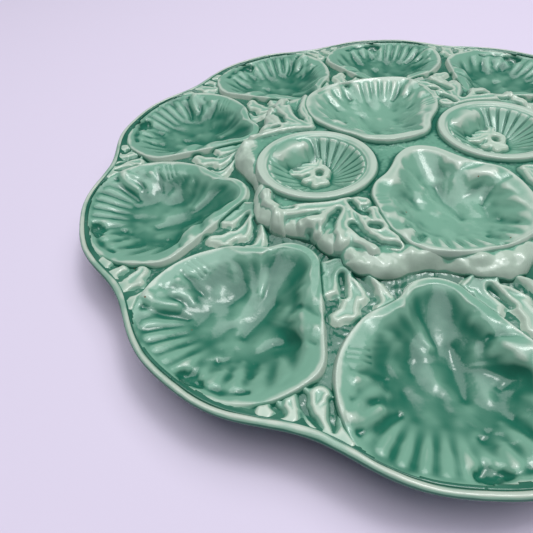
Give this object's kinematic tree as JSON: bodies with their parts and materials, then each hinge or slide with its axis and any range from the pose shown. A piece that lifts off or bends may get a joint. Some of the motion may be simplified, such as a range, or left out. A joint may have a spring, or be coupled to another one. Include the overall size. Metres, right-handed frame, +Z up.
{
  "type": "oyster plate",
  "caption": "Round lobed oyster platter in green glazed earthenware: shell-shaped oyster wells round a raised centre with sauce wells, seaweed relief between, on a foot ring.",
  "frame": {"origin": "on the table under the middle of the plate, at the centre of the foot ring", "axes": "+Z up, +Y towards the back oyster well of the raised centre, +X towards its right sauce well"},
  "size_m": [0.376, 0.3668, 0.037],
  "materials": {
    "glaze_ground": "dark green majolica glaze, pooled on stippled ground",
    "glaze_well": "mid green majolica glaze, glossy",
    "glaze_rim": "thin pale green glaze over the rolled edge, glossy",
    "glaze_relief": "pale green glaze, thin on the crests, glossy",
    "glaze_foot": "pale green glaze on the underside, wiped at the foot"
  },
  "bodies": {
    "root": {"rolled_rim": "glaze_rim", "foot_ring": "glaze_foot", "raised_centre": "glaze_ground", "ground_web_01": "glaze_ground", "ground_web_02": "glaze_ground", "ground_web_03": "glaze_ground", "ground_web_04": "glaze_ground", "ground_web_05": "glaze_ground", "ground_web_06": "glaze_ground", "ground_web_07": "glaze_ground", "ground_web_08": "glaze_ground", "ground_web_09": "glaze_ground", "ground_web_10": "glaze_ground", "outer_well_01": "glaze_well", "outer_well_02": "glaze_well", "outer_well_03": "glaze_well", "outer_well_04": "glaze_well", "outer_well_05": "glaze_well", "outer_well_06": "glaze_well", "outer_well_07": "glaze_well", "outer_well_08": "glaze_well", "outer_well_09": "glaze_well", "outer_well_10": "glaze_well", "centre_well_back": "glaze_well", "centre_well_front": "glaze_well", "sauce_well_left": "glaze_well", "sauce_well_right": "glaze_well", "sauce_sprig_left": "glaze_relief", "sauce_sprig_right": "glaze_relief", "rim_fronds": "glaze_relief", "web_fronds": "glaze_relief", "centre_fronds": "glaze_relief"}
  },
  "joints": []
}
